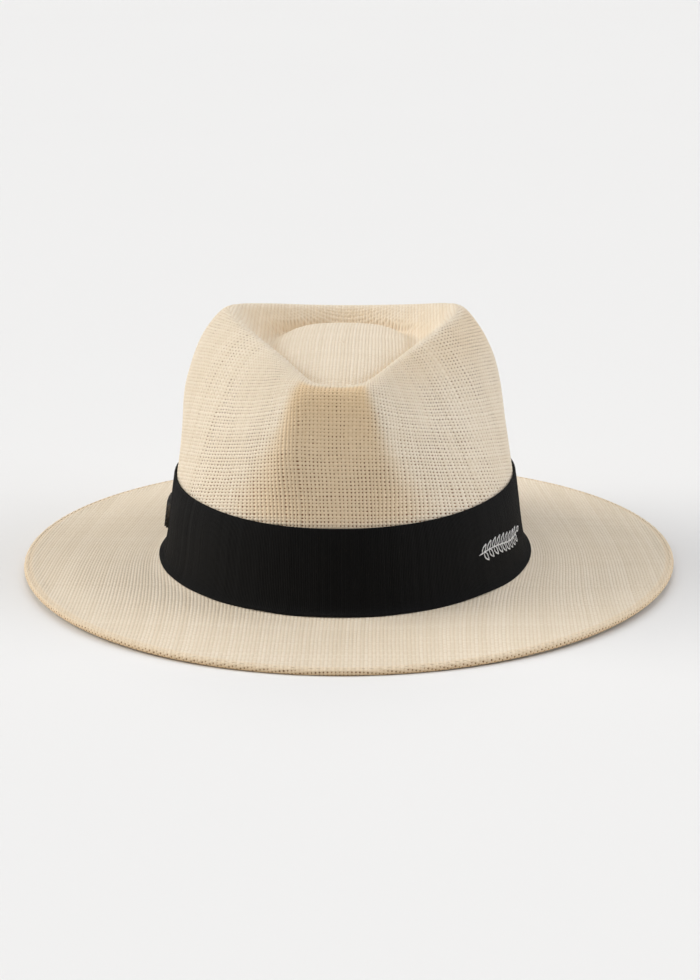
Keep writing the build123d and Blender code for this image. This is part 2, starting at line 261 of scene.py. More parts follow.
def read(grid, place, angle):
    """A value from one of the wall's reference grids."""
    row = np.clip((place - BREAK_RING) / (RIDGE_RING - BREAK_RING) * REF_ROWS, 0, REF_ROWS - 0.001)
    column = np.clip((angle - REF_ANGLES[0]) / tau * REF_COLUMNS, 0, REF_COLUMNS - 0.001)
    i, j = row.astype(int), column.astype(int)
    a, b = row - i, column - j
    low = grid[i, j] * (1 - b) + grid[i, j + 1] * b
    high = grid[i + 1, j] * (1 - b) + grid[i + 1, j + 1] * b
    return low * (1 - a) + high * a


def uneven(count, seed, amount):
    """How far each thread strays sideways from even spacing."""
    return np.random.default_rng(seed).normal(0, amount, 2 * count + 1).clip(-0.3, 0.3)


MOST_THREADS = 400           # no thread is numbered higher than this on either side of the middle
THREAD_NUMBERS = np.arange(-MOST_THREADS, MOST_THREADS + 1)
COLUMN_STRAY = uneven(MOST_THREADS, 11, 0.11)
ROW_STRAY = uneven(MOST_THREADS, 12, 0.08)


def strayed(u, v, points, fade=1.0, loose=1.0):
    """Threads a little out of true: each to one side, and all of them in slow waves."""
    u = u + fade * loose * np.interp(u, THREAD_NUMBERS, COLUMN_STRAY)
    v = v + loose * np.interp(v, THREAD_NUMBERS, ROW_STRAY)
    u = u + fade * 0.16 * drift(points, 70, 21) + fade * 0.06 * loose * drift(points, 16, 22)
    v = v + fade * 0.16 * drift(points, 70, 23) + fade * 0.06 * loose * drift(points, 16, 24)
    return np.stack([u, v], -1)


def wall_threads(place, angle):
    """Places in the weave of the crown's wall: columns run up it, drawn apart on its flanks."""
    place, angle = np.broadcast_arrays(np.asarray(place, float), angle)
    away = np.degrees(np.abs(angle + pi / 2))
    back_share = ease((away - 32) / 38)
    u = (1 - back_share) * read(ref_round, place, angle) / THREAD_PITCH
    u = u + back_share * np.interp(angle, REF_ANGLES, even_round)
    u = u - np.sign(u) * DRAWN_APART * ease((np.abs(u) - 10) / 75)
    points = sheet(place, angle)
    v = (read(ref_up, place, angle) + ROW_TILT * points[..., 1]) / THREAD_PITCH
    fade = ease((ROUND_THREADS / 2 - DRAWN_APART - np.abs(u)) / 8)
    return strayed(u, v, points, fade)


def plan_threads(place, angle, extra=0.0):
    """Places in the weave of the brim and the crown's top: threads run front to back and across.

    extra is how many mm further out the cloth has run, round the brim's edge.
    """
    points = sheet(place, angle)
    flat = points[..., :2]
    outward = unit(flat)
    flat = flat + outward * extra
    x, y = flat[..., 0], flat[..., 1]
    reach = np.sqrt((x / RINGS[BREAK_RING, 0]) ** 2 + (y / RINGS[BREAK_RING, 2]) ** 2)
    bulge = 0.15 * np.exp(-np.abs(reach - 1) / 0.35) * (reach > 0.9)
    u = x * (1 - bulge * outward[..., 0] ** 2) / (1 - 0.0006 * y) / FLAT_PITCH
    v = y * (1 - bulge * outward[..., 1] ** 2) / FLAT_PITCH
    return strayed(u, v, points, loose=0.4)


def weave(threads, sink):
    """The plain weave's height at places in it, in mm. sink lowers the cross threads."""
    column, row = np.rint(threads[..., 0]), np.rint(threads[..., 1])
    across, along = threads[..., 0] - column, threads[..., 1] - row
    side = 1 - 2 * np.mod(column + row, 2)
    warp = RELIEF * side * np.cos(pi * along) - THREAD_DEPTH * np.abs(2 * across) ** 2.5
    weft = -RELIEF * side * np.cos(pi * across) - THREAD_DEPTH * np.abs(2 * along) ** 2.5
    return np.maximum(warp, weft - sink)


# ---------------------------------------------------------------- the straw
class Shell:
    """A closed skin laid ring by ring, from the top of the crown down and back up inside."""

    def __init__(self):
        self.points, self.faces, self.uv = [], [], []
        self.tags = {"wall": [], "gaps": [], "warm_shade": []}
        self.count = 0
        self.first = None
        self.last = None

    def change_weave(self, threads):
        """Gives the last ring the thread places that it has in the next stretch's weave."""
        self.last = (self.last[0], len(threads) - 1, threads)

    def ring(self, points, threads, wall, gaps, warm_shade):
        size = len(threads) - 1
        start = self.count
        self.points.append(points[:size])
        for key, values in (("wall", wall), ("gaps", gaps), ("warm_shade", warm_shade)):
            self.tags[key].append(np.broadcast_to(values, size + 1)[:size])
        self.count += size
        if self.last is not None:
            self.join(self.last, (start, size, threads))
        self.last = (start, size, threads)
        self.first = self.first or self.last

    def join(self, first, second):
        """Faces between two rings: quads, or three triangles for each pair when one has twice the other."""
        (a0, a_size, a_uv), (b0, b_size, b_uv) = first, second
        if a_size == b_size:
            k = np.arange(a_size)
            k1 = (k + 1) % a_size
            self.faces.append(np.stack([a0 + k, b0 + k, b0 + k1, a0 + k1], 1))
            self.uv.append(np.stack([a_uv[:-1], b_uv[:-1], b_uv[1:], a_uv[1:]], 1))
            return
        turned = a_size > b_size
        if turned:
            (a0, a_size, a_uv), (b0, b_size, b_uv) = second, first
        k = np.arange(a_size)
        left, mid, right = 2 * k, 2 * k + 1, 2 * k + 2
        ends = ((k + 1) % a_size, (2 * k + 2) % b_size)
        three = [
            ([a0 + k, b0 + left, b0 + mid], [a_uv[k], b_uv[left], b_uv[mid]]),
            ([a0 + k, b0 + mid, a0 + ends[0]], [a_uv[k], b_uv[mid], a_uv[k + 1]]),
            ([a0 + ends[0], b0 + mid, b0 + ends[1]], [a_uv[k + 1], b_uv[mid], b_uv[right]]),
        ]
        for face, uv in three:
            step = -1 if turned else 1
            self.faces.append(np.stack(face[::step], 1))
            self.uv.append(np.stack(uv[::step], 1))

    def cap(self, point, thread, start_cap):
        """Closes the last or first ring with a fan."""
        start, size, uv = self.last if not start_cap else self.first
        k = np.arange(size)
        k1 = (k + 1) % size
        middle = np.full(size, self.count)
        self.points.append(point[None])
        for values in self.tags.values():
            values.append(np.zeros(1))
        self.count += 1
        order = [middle, start + k, start + k1] if start_cap else [middle, start + k1, start + k]
        spot = np.repeat(thread[None], size, 0)
        ordered_uv = [spot, uv[:-1], uv[1:]] if start_cap else [spot, uv[1:], uv[:-1]]
        self.faces.append(np.stack(order, 1))
        self.uv.append(np.stack(ordered_uv, 1))


def openness_at(points):
    """How wide the gaps at the threads' corners stand open, and so how much painted shade shows through
    them: most on the crown's front.
    """
    forward = -points[..., 1] / 100
    right = points[..., 0] / 90
    low = ease((112 - points[..., 2]) / 50)
    amount = 0.48 + ease((forward - 0.15) / 0.6) * (0.04 + 0.40 * low)
    amount = amount + 0.2 * ease((right - 0.3) / 0.3) * ease((points[..., 2] - 70) / 40)
    amount = amount * (1 - 0.5 * ease((-right - 0.72) / 0.22))
    patchy = 0.9 + 0.2 * drift(points, 22, 31) + 0.12 * drift(points, 6, 32)
    return np.clip(amount * patchy, 0, 1)


def warm_shade_at(place, angle):
    """How much warm painted shade the straw gets: most on the flat facet down the crown's front, which
    faces away from the side lights; some on the dent's far wall behind the dome, on the upper right flank
    and round the brim's edge.
    """
    soft = 0.06 + 0.14 * ease((13.0 - place) / 3)
    facet = ease((-np.sin(angle + 0.06) - 0.945 + soft) / (1.1 * soft))
    facet = facet * ease((place - 9.6) / 0.8) * ease((16.6 - place) / 0.9)
    facet = facet * (0.62 + 0.38 * ease((place - 10.5) / 4))
    right_top = ease((np.cos(angle) - 0.5) / 0.4) * ease((place - 12.5) / 2.5) * ease((16.8 - place) / 1.0)
    hollow = ease((place - 17.2) / 1.2) * ease((22 - place) / 1.5) * ease((np.sin(angle) - 0.2) / 0.5)
    hollow = hollow * ease((0.55 - np.cos(angle)) / 0.4)
    return facet + 0.35 * hollow + 0.35 * right_top + 0.3 * ease((0.3 - place) / 0.1)


def shape_drift(place, points):
    """Slow unevenness of a hand-blocked sheet, none where the bands or the table touch it."""
    crown = ease((place - 10.5) / 2) * ease((26.5 - place) / 2)
    brim = ease((4.6 - place) / 1.0) * ease((place - 0.6) / 1.0)
    return 0.45 * crown * drift(points, 70, 41) + 0.3 * brim * drift(points, 90, 42)


def straw_mesh():
    coarse = 1
    shell = Shell()

    def lay(places, size, threads_of, wall, sink, depth=0.0, joined=False, relief=1.0):
        """One stretch of rings; joined starts it on the last ring, and depth puts it on the underside."""
        turn = angles(size // coarse)
        place = places[:, None] + 0 * turn[None, :]
        angle = 0 * places[:, None] + turn[None, :]
        base = sheet(place, angle)
        normal = sheet_normal(place, angle)
        threads = threads_of(place, angle)
        height = relief * weave(threads, sink) + shape_drift(place, base)
        inset = EDGE_RING_STEP * place
        hem = ease((HEM_WIDTH + 0.6 - inset) / 1.2)
        warm_shade = warm_shade_at(place, angle)
        wire = np.exp(-(((inset - WIRE_INSET) / 1.3) ** 2))
        seam = np.exp(-(((inset - HEM_SEAM_INSET) / 0.6) ** 2))
        if depth == 0.0:
            height = height + hem * (0.12 + 0.15 * wire - 0.12 * seam)
            points = base + normal * height[..., None]
            gaps = openness_at(base) * wall
        else:
            under = depth + relief * (RELIEF - weave(threads, sink)) - shape_drift(place, base)
            points = base - normal * under[..., None]
            gaps = 0 * place
        if joined:
            shell.change_weave(threads[0])
        for index in range(1 if joined else 0, len(places)):
            shell.ring(points[index], threads[index], wall, gaps[index], warm_shade[index])

    # the upper face: the dome and groove, the wall, what the band hides of it, and the brim
    fine = 0.52 * coarse
    lay(rows(DOME_RING, 25.4, fine), 96, plan_threads, 0.0, 0.10, relief=0.8)
    for size, start, end in ((192, 25.4, 24.6), (384, 24.6, 23.6), (768, 23.6, RIDGE_RING)):
        lay(rows(start, end, fine)[1:], size, plan_threads, 0.0, 0.10, relief=0.8)
    lay(rows(RIDGE_RING, HIDDEN_PLACE, fine)[1:], COLUMNS, wall_threads, 1.0, 0.0)
    lay(rows(HIDDEN_PLACE, BREAK_RING, 4)[1:], COLUMNS, wall_threads, 1.0, 0.0)
    edge_row = EDGE_RADIUS / EDGE_RING_STEP
    lay(rows(BREAK_RING, edge_row, 0.6 * coarse), COLUMNS, plan_threads, 0.0, 0.06, joined=True, relief=0.6)

    # the rounded edge, down to the folded hem
    size = COLUMNS // coarse
    turn = angles(size)
    edge_place = np.full(size + 1, edge_row)
    base = sheet(edge_place, turn)
    normal = sheet_normal(edge_place, turn)
    outward = unit(np.cross(np.roll(base, -1, 0) - np.roll(base, 1, 0), normal))
    outward[0] = outward[-1] = [0, 1, 0]
    half = HEM_THICKNESS / 2
    path = 0.0
    for step in range(1, EDGE_STEPS + 1):
        lean = pi / 2 - pi * step / EDGE_STEPS
        path += pi * 1.2 / EDGE_STEPS
        threads = plan_threads(edge_place, turn, path)
        bulge = weave(threads, 0.02)[:, None] + 0.1 * (1 - abs(sin(lean)))
        spot = base + outward * (cos(lean) * EDGE_RADIUS) + normal * (half * (sin(lean) - 1))
        direction = outward * cos(lean) + normal * sin(lean)
        lift = np.where(sin(lean) < -0.3, np.minimum(bulge, 0.0), bulge)
        # the edge's rings take more warm painted shade as they turn under the brim
        shell.ring(spot + direction * lift, threads, 0.0, 0.9 * (step > 2), 0.3 + 0.12 * step)

    # the underside: the hem, the brim, the wall and the top
    hem_row = HEM_WIDTH / EDGE_RING_STEP
    hem_places = np.linspace(edge_row, hem_row, 7)[1:]
    lay(hem_places, COLUMNS // 2, plan_threads, 0.0, 0.06, depth=HEM_THICKNESS, relief=0.6)
    lay(np.array([hem_row + 0.004]), COLUMNS // 2, plan_threads, 0.0, 0.06, depth=STRAW_THICKNESS + 0.2)
    lay(rows(hem_row + 0.03, BREAK_RING, 1.3), COLUMNS // 2, plan_threads, 0.0, 0.06, depth=STRAW_THICKNESS)
    wall_places = rows(BREAK_RING, RIDGE_RING, 1.6)
    lay(wall_places, COLUMNS // 2, wall_threads, 1.0, 0.0, depth=STRAW_THICKNESS, joined=True)
    for size, start, end in ((384, RIDGE_RING, 23.6), (192, 23.6, 24.6), (96, 24.6, DOME_RING)):
        lay(rows(start, end, 1.3)[1:], size, plan_threads, 0.0, 0.10, depth=STRAW_THICKNESS)

    top = np.array([DOME_CENTRE, 0.0, DOME_TOP])
    spot = plan_threads(np.array([float(DOME_RING)]), np.array([0.0]))[0]
    shell.cap(top - [0, 0, STRAW_THICKNESS + 0.1], spot, start_cap=False)
    shell.cap(top, spot, start_cap=True)
    tags = {key: np.concatenate(values) for key, values in shell.tags.items()}
    return make_object("straw", np.concatenate(shell.points), shell.faces, shell.uv, tags)


# ---------------------------------------------------------------- tapes, tabs and stitches
def tape(name, low_place, high_place, inner, outer, ribs, rib_height, per_rib, wave=0.1):
    """A woven tape round the crown: ribs upright, its two edges rounded."""
    count = ribs * per_rib
    middle = (low_place + high_place) / 2
    turn, _ = even_angles(middle, count, outer)
    phase = np.arange(count + 1) / per_rib
    half = (outer - inner) / 2
    height_rows = np.linspace(0, 1, 19)
    face_out = [(low_place + (high_place - low_place) * t, 1.0, 1.0) for t in height_rows]
    top_edge = [(high_place, cos(a), cos(a) * 0.8) for a in np.linspace(0, pi, 7)[1:-1]]
    face_in = [(low_place + (high_place - low_place) * t, -1.0, -0.5) for t in height_rows[::-2]]
    low_edge = [(low_place, -cos(a), -cos(a) * 0.8) for a in np.linspace(0, pi, 7)[1:-1]]
    profile = face_out + top_edge + face_in + low_edge
    side = np.array([step[1] for step in profile])[:, None]
    share = np.array([step[2] for step in profile])[:, None]
    place = np.array([step[0] for step in profile])[:, None] + 0 * turn[None, :]
    rib = np.abs(np.cos(pi * phase))[None, :] ** 0.7 - 0.6
    uneven_rib = 1 + 0.25 * np.repeat(rng.normal(0, 1, ribs + 1), per_rib)[: count + 1]
    uneven_rib[-1] = uneven_rib[0]
    flat = sheet(place, turn[None, :], 0.0)
    slack = wave * drift(flat, 45, 51)
    out = (inner + outer) / 2 + side * half + share * rib_height * rib * uneven_rib + slack
    points = sheet(place, turn[None, :], out)
    edge = np.sqrt(np.maximum(0, 1 - side**2)) * 0.45
    rise = np.where(place > middle, 1, -1) * edge
    wavy = 0.12 * rib + 0.15 * drift(flat, 30, 52)
    points[..., 2] += rise + np.where(np.abs(place - low_place) < 0.3, -wavy, 0)
    points = points[:, :-1]
    rings, columns = points.shape[:2]
    index = np.arange(rings * columns).reshape(rings, columns)
    nxt = np.roll(index, -1, 0)
    quads = np.stack([index, np.roll(index, -1, 1), np.roll(nxt, -1, 1), nxt], -1).reshape(-1, 4)
    lengthways = np.broadcast_to(phase[None, :], (rings + 1, count + 1))
    crossways = np.concatenate([place, place[:1]]) * 8
    uv = np.stack([lengthways, crossways], -1)
    corner = np.stack([uv[:-1, :-1], uv[:-1, 1:], uv[1:, 1:], uv[1:, :-1]], 2).reshape(-1, 4, 2)
    return make_object(name, points.reshape(-1, 3), [quads], [corner])


def slab(name, locate, inner, outer, across_steps, along_steps, relief=None):
    """A small soft piece: locate(s, t, out) gives its faces, and its edges are rounded."""
    s, t = np.meshgrid(np.linspace(0, 1, across_steps), np.linspace(0, 1, along_steps), indexing="ij")
    rim = np.minimum(np.minimum(s, 1 - s) * across_steps, np.minimum(t, 1 - t) * along_steps)
    full = np.sqrt(np.clip(rim / 1.6, 0, 1)) * 0.8 + 0.2
    mid, half = (inner + outer) / 2, (outer - inner) / 2
    lift = relief(s, t) if relief else 0 * s
    top = locate(s, t, mid + half * full + lift * full)
    low = locate(s, t, mid - half * full)
    index = np.arange(s.size).reshape(s.shape)
    quad = np.stack([index[:-1, :-1], index[1:, :-1], index[1:, 1:], index[:-1, 1:]], -1).reshape(-1, 4)
    loop = np.concatenate([index[:-1, 0], index[-1, :-1], index[:0:-1, -1], index[0, :0:-1]])
    after = np.roll(loop, -1)
    wall = np.stack([loop, loop + s.size, after + s.size, after], 1)
    points = np.concatenate([top.reshape(-1, 3), low.reshape(-1, 3)])
    faces = np.concatenate([quad, quad[:, ::-1] + s.size, wall])
    uv = np.stack([s, t], -1).reshape(-1, 2)
    uv = np.concatenate([uv, uv])
    return make_object(name, points, [faces], [uv[faces]])


def stitches(name, centre, outward, length, gap, radius, sunk=0.55):
    """Separate thread stitches along a line of points; each rises from the cloth and goes back in."""
    steps = np.linalg.norm(np.diff(centre, axis=0), axis=-1)
    travelled = np.concatenate([[0.0], np.cumsum(steps)])
    count = int(travelled[-1] // (length + gap))
    begins = np.arange(count) * travelled[-1] / count + rng.normal(0, 0.12, count)
    spans = length * rng.uniform(0.9, 1.08, count)
    part = np.array([0.0, 0.08, 0.25, 0.5, 0.75, 0.92, 1.0])
    where = (begins[:, None] + spans[:, None] * part).clip(0, travelled[-1])
    line = np.stack([np.interp(where, travelled, centre[:, k]) for k in range(3)], -1)
    up = unit(np.stack([np.interp(where, travelled, outward[:, k]) for k in range(3)], -1))
    lift = np.array([-sunk, 0.0, 0.75, 1.0, 0.75, 0.0, -sunk]) * radius
    line = line + up * lift[:, None]
    forward = unit(np.gradient(line, axis=1))
    sideways = unit(np.cross(forward, up))
    above = np.cross(sideways, forward)
    turn = tau * np.arange(6) / 6
    thick = radius * np.array([0.7, 0.95, 1.0, 1.0, 1.0, 0.95, 0.7])
    circle = sideways[:, :, None] * np.cos(turn)[:, None] + above[:, :, None] * np.sin(turn)[:, None]
    points = line[:, :, None] + circle * thick[:, None, None]
    index = np.arange(points.size // 3).reshape(points.shape[:3])
    round_way = np.roll(index, -1, 2)
    quads = np.stack([index[:, :-1], round_way[:, :-1], round_way[:, 1:], index[:, 1:]], -1).reshape(-1, 4)
    first, last = index[:, 0, ::-1], index[:, -1]
    caps = [first[:, [0, 1, 2, 3]], first[:, [0, 3, 4, 5]], last[:, [0, 1, 2, 3]], last[:, [0, 3, 4, 5]]]
    return make_object(name, points.reshape(-1, 3), [np.concatenate([quads] + caps)])


# ---------------------------------------------------------------- materials
class Graph:
    """Shorthand for building a material out of nodes."""

    def __init__(self, name, roughness, **sockets):
        self.material = bpy.data.materials.new(name)
        self.material.use_nodes = True
        self.tree = self.material.node_tree
        self.shader = self.tree.nodes["Principled BSDF"]
        self.shader.inputs["Roughness"].default_value = roughness
        for key, value in sockets.items():
            self.shader.inputs[key.replace("_", " ")].default_value = value

    def node(self, kind, inputs=None, output=0, **settings):
        item = self.tree.nodes.new("ShaderNode" + kind)
        for key, value in settings.items():
            setattr(item, key, value)
        for key, value in (inputs or {}).items():
            if isinstance(value, Term):
                value = value.socket
            if isinstance(value, bpy.types.NodeSocket):
                self.tree.links.new(value, item.inputs[key])
            else:
                item.inputs[key].default_value = value
        return Term(self, item.outputs[output])

    def mix(self, share, low, high):
        return self.node("Mix", {0: share, 6: low, 7: high}, output=2, data_type="RGBA")

    def noise(self, place, scale, detail=2.0, roughness=0.5):
        inputs = {"Vector": place, "Scale": scale, "Detail": detail, "Roughness": roughness}
        return self.node("TexNoise", inputs)

    def vector(self, x, y, z=0.0):
        return self.node("CombineXYZ", {0: x, 1: y, 2: z})

    def chance(self, x, y=0.0, z=0.0):
        """A random number from 0 to 1 for each whole-number place."""
        return self.node("TexWhiteNoise", {"Vector": self.vector(x, y, z)})

    def attribute(self, name):
        return self.node("Attribute", output=2, attribute_name=name)

    def threads(self):
        uv = self.node("UVMap", uv_map="threads")
        split = self.tree.nodes.new("ShaderNodeSeparateXYZ")
        self.tree.links.new(uv.socket, split.inputs[0])
        return Term(self, split.outputs[0]), Term(self, split.outputs[1])

    def place(self):
        return self.node("TexCoord", output=3)

    def finish(self, colour, height=None, distance=0.0003, strength=1.0, roughness=None):
        self.tree.links.new(colour.socket, self.shader.inputs["Base Color"])
        if roughness is not None:
            self.tree.links.new(roughness.socket, self.shader.inputs["Roughness"])
        if height is not None:
            bump = {"Height": height, "Distance": distance, "Strength": strength}
            self.tree.links.new(self.node("Bump", bump).socket, self.shader.inputs["Normal"])
        return self.material


class Term:
    """A node's output that can be added, multiplied and so on."""

    def __init__(self, graph, socket):
        self.graph, self.socket = graph, socket

    def op(self, operation, other=None, clamp=False):
        inputs = {0: self} if other is None else {0: self, 1: other}
        return self.graph.node("Math", inputs, operation=operation, use_clamp=clamp)

    def __add__(self, other):
        return self.op("ADD", other)

    def __sub__(self, other):
        return self.op("SUBTRACT", other)

    def __mul__(self, other):
        return self.op("MULTIPLY", other)

    def __pow__(self, other):
        return self.op("POWER", other)

    def whole(self):
        return self.op("ROUND")

    def size(self):
        return self.op("ABSOLUTE")

    def step(self, low, high):
        inputs = {"Value": self, "From Min": low, "From Max": high}
        return self.graph.node("MapRange", inputs, interpolation_type="SMOOTHSTEP")


def straw_material():
    g = Graph("woven_straw", 0.6, **{"Specular_IOR_Level": 0.36})
    u, v = g.threads()
    column, row = u.whole(), v.whole()
    across, along = u - column, v - row
    side = (column + row).op("PINGPONG", 1.0) * -2.0 + 1.0
    warp = side * (along * pi).op("COSINE") * RELIEF - (across.size() * 2.0) ** 2.5 * THREAD_DEPTH
    weft = side * (across * pi).op("COSINE") * -RELIEF - (along.size() * 2.0) ** 2.5 * THREAD_DEPTH
    wall = g.attribute("wall")
    gaps = g.attribute("gaps")
    weft = weft - (wall * -0.08 + 0.08)
    height = warp.op("MAXIMUM", weft)
    warp_shows = (warp - weft).step(-0.02, 0.02)
    # the paper yarn's fibres, drawn out along each thread
    warp_fibre = g.noise(g.vector(u * 9.0, v * 1.1, column), 1.0, 3.0)
    weft_fibre = g.noise(g.vector(u * 1.1, v * 9.0, row + 500.0), 1.0, 3.0)
    fibre = g.node("Mix", {0: warp_shows, 2: weft_fibre, 3: warp_fibre})
    # each thread has its own tint, which drifts along its length
    warp_tint = g.chance(column, 3.0) * 0.6 + g.noise(g.vector(column * 7.3, v * 0.05), 1.0) * 0.5
    weft_tint = g.chance(row, 9.0) * 0.6 + g.noise(g.vector(u * 0.05, row * 7.3), 1.0) * 0.5
    tint = g.node("Mix", {0: warp_shows, 2: weft_tint, 3: warp_tint})
    broad = g.noise(g.place(), 14.0, 3.0)
    pale = g.mix(tint.step(0.1, 1.0), (0.81, 0.70, 0.545, 1), (0.90, 0.80, 0.655, 1))
    pale = g.mix(broad.step(0.35, 0.75) * 0.2, pale, (0.83, 0.70, 0.52, 1))
    pale = g.mix(fibre.step(0.4, 0.8) * 0.16, pale, (0.66, 0.52, 0.34, 1))
    # painted shade: a warm, darker tan laid where the straw faces away from the lights, most on the crown's
    # front facet
    pale = g.mix(g.attribute("warm_shade") * 0.8, pale, (0.80, 0.58, 0.33, 1))
    # painted shade: a dark warm brown laid in the valleys between the threads, stronger where the gaps
    # stand open
    deep = (height * -1.0).step(0.02, 0.20)
    shaded = g.mix(deep * (gaps * 0.36 + 0.26), pale, (0.50, 0.27, 0.09, 1))
    # painted shade: dark brown dots at the threads' corners stand for the hat's dark inside seen through
    # the gaps, which the closed sheet has no holes for
    cell = g.chance(u.op("FLOOR"), v.op("FLOOR"), 5.0)
    shrink = cell * 0.07 - gaps * 0.07
    gap = (across.size() - shrink).step(0.32, 0.43) * (along.size() - shrink).step(0.32, 0.43)
    chance = g.chance(u.op("FLOOR"), 2.0) * 0.5 + g.chance(u.op("FLOOR"), v.op("FLOOR"), 2.0) * 0.45
    gap_shows = (gaps * 1.7 - chance).step(-0.05, 0.85)
    colour = g.mix(gap * gap_shows, shaded, (0.16, 0.05, 0.007, 1))
    relief = height + fibre * 0.05
    rough = fibre * 0.15 + 0.5
    return g.finish(colour, relief, 0.001, 0.5, rough)


def cloth_material(name, dark, light, rib_depth, threads=6.0, sheen=0.03):
    """Dense ribbed ribbon: fine threads wound round each rib."""
    g = Graph(name, 0.75, Sheen_Weight=sheen, Sheen_Roughness=0.4, Specular_IOR_Level=0.12)
    u, v = g.threads()
    rib = u.whole()
    across = (u - rib).size()
    winding = (v * threads * pi + g.chance(rib) * 6.0).op("COSINE").size()
    broad = g.noise(g.place(), 40.0, 3.0)
    grain = g.noise(g.vector(u * 5.0, v * threads * 2.0), 1.0, 3.0)
    level = g.chance(rib, 4.0) * 0.35 + broad * 0.3 + grain * 0.35
    colour = g.mix(level.step(0.2, 0.85), dark, light)
    # painted shade: each rib darkens towards its edges, in the grooves between the ribs
    colour = g.mix((across * 2.0) ** 3.0 * 0.6, colour, tuple(c * 0.4 for c in dark[:3]) + (1,))
    relief = (across * 2.0) ** 2.0 * -rib_depth + winding * 0.04 + grain * 0.05
    return g.finish(colour, relief, 0.001, 0.8, grain * 0.2 + 0.6)


def thread_material(name, dark, light):
    g = Graph(name, 0.6, Specular_IOR_Level=0.3)
    twist = g.node("TexWave", {"Vector": g.place(), "Scale": 900.0, "Distortion": 2.0}, output=1)
    broad = g.noise(g.place(), 260.0, 2.0)
    colour = g.mix(broad.step(0.3, 0.7), dark, light)
    return g.finish(colour, twist, 0.0001, 0.6, twist * 0.15 + 0.5)


def metal_material(name, dark, light, roughness, grain_scale=900.0):
    g = Graph(name, roughness, Metallic=1.0)
    wear = g.noise(g.place(), 160.0, 5.0)
    scratches = g.noise(g.place(), grain_scale, 3.0)
    colour = g.mix(wear.step(0.35, 0.7), dark, light)
    rough = scratches * 0.18 + wear * 0.12 + (roughness - 0.12)
    return g.finish(colour, scratches, 0.00003, 0.5, rough)


# ---------------------------------------------------------------- the pieces
def stand_for(piece, node, body):
    """The piece replaces a CAD node, which is hidden, and rides on its body."""
    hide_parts(node)
    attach(piece, body)


straw = paint(straw_mesh(), straw_material())
stand_for(straw, "straw_body", "hat")

hem_thread = thread_material("hem_thread", (0.78, 0.66, 0.50, 1), (0.87, 0.76, 0.61, 1))
turn = angles(1440)
for name, depth in (("hem_stitches_upper", 0.0), ("hem_stitches_under", HEM_THICKNESS)):
    place = np.full(len(turn), HEM_SEAM_INSET / EDGE_RING_STEP)
    facing = sheet_normal(place, turn) * (1 if depth == 0.0 else -1)
    line = sheet(place, turn) + facing * (0.02 if depth == 0.0 else HEM_THICKNESS - 0.35)
    seam = paint(stitches(name, line, facing, 2.7, 1.3, 0.19), hem_thread)
    stand_for(seam, "hem_stitching", "hat")

BLACK_DEEP, BLACK_LIT = (0.0012, 0.0012, 0.0013, 1), (0.0048, 0.0048, 0.005, 1)
grosgrain = cloth_material("black_grosgrain", BLACK_DEEP, BLACK_LIT, 0.12)
BAND_MIDDLE = (BREAK_RING + BAND_TOP_RING) / 2
_, band_round = even_angles(BAND_MIDDLE, 100, BAND_OUTER)
band_ribs = round(band_round / RIB_PITCH)
band_faces = (BAND_GAP + 0.1, BAND_OUTER - THREADS_STAND_OUT)
band = paint(tape("hat_band_cloth", BREAK_RING, BAND_TOP_RING, *band_faces, band_ribs, 0.10, 4), grosgrain)
stand_for(band, "hat_band", "band")

sweat_cloth = cloth_material("sweatband_cloth", (0.008, 0.008, 0.009, 1), (0.03, 0.03, 0.033, 1), 0.1, 4.0)
sweat_faces = (SWEATBAND_OUTER - SWEATBAND_THICKNESS, SWEATBAND_OUTER - THREADS_STAND_OUT)
sweatband = tape("sweatband_cloth", SWEATBAND_LOW, SWEATBAND_HIGH, *sweat_faces, 460, 0.07, 3, wave=0.03)
paint(sweatband, sweat_cloth)
stand_for(sweatband, "sweatband", "hat")

fine_turn = angles(4800)
mid_line = sheet(BAND_MIDDLE, fine_turn, BAND_OUTER)
mid_round = np.concatenate([[0.0], np.cumsum(np.linalg.norm(np.diff(mid_line, axis=0), axis=-1))])


def on_wall(along, height, out, centre_angle):
    """A point on the crown's lower wall: mm round from an angle, height, and mm out."""
    start = np.interp(centre_angle, fine_turn, mid_round)
    distance = np.mod(start + along, mid_round[-1])
    angle = np.interp(distance, mid_round, fine_turn)
    band_rings = np.arange(BREAK_RING, BAND_TOP_RING + 1)
    place = np.interp(height, RINGS[band_rings, 4], band_rings)
    return sheet(place, angle, out)


BACK_ANGLE = radians(-270)
black_thread = thread_material("black_thread", (0.01, 0.01, 0.011, 1), (0.03, 0.03, 0.033, 1))


def wall_seam(name, node, body, along, low, high, out, facing, material, length=2.6):
    """An upright row of stitches on the crown's back."""
    heights = np.linspace(low, high, 60)
    line = on_wall(along + 0 * heights, heights, out, BACK_ANGLE)
    away = np.repeat([[0.0, facing, 0.0]], len(line), 0)
    seam = paint(stitches(name, line, away, length, 0.8, 0.2), material)
    stand_for(seam, node, body)


tab = slab(
    "band_tab_cloth",
    lambda s, t, out: on_wall((s - 0.5) * 16, 8 + t * 40, out, BACK_ANGLE),
    BAND_OUTER + 0.1,
    BAND_OUTER + 0.8,
    66,
    60,
    lambda s, t: 0.05 * np.cos(tau * s * 16),
)
paint(tab, cloth_material("tab_cloth", BLACK_DEEP, BLACK_LIT, 0.1))
stand_for(tab, "band_join_tab", "band")
for side in (-1, 1):
    word = "left" if side < 0 else "right"
    wall_seam(f"band_join_stitches_{word}", "band_join_stitching", "band", side * 6, 10, 47,
              BAND_OUTER + 0.85, 1, black_thread)
    wall_seam(f"sweatband_join_stitches_{word}", "sweatband_join_stitching", "hat", side * 2, 14.5, 39,
              -3.0, -1, black_thread)

seam_line = sheet(np.full(len(turn), SWEATBAND_SEAM), turn, -3.0)
inward = -unit(seam_line * [1, 1, 0])
seam = paint(stitches("sweatband_stitches", seam_line, inward, 2.8, 0.9, 0.22), black_thread)
stand_for(seam, "sweatband_stitching", "hat")

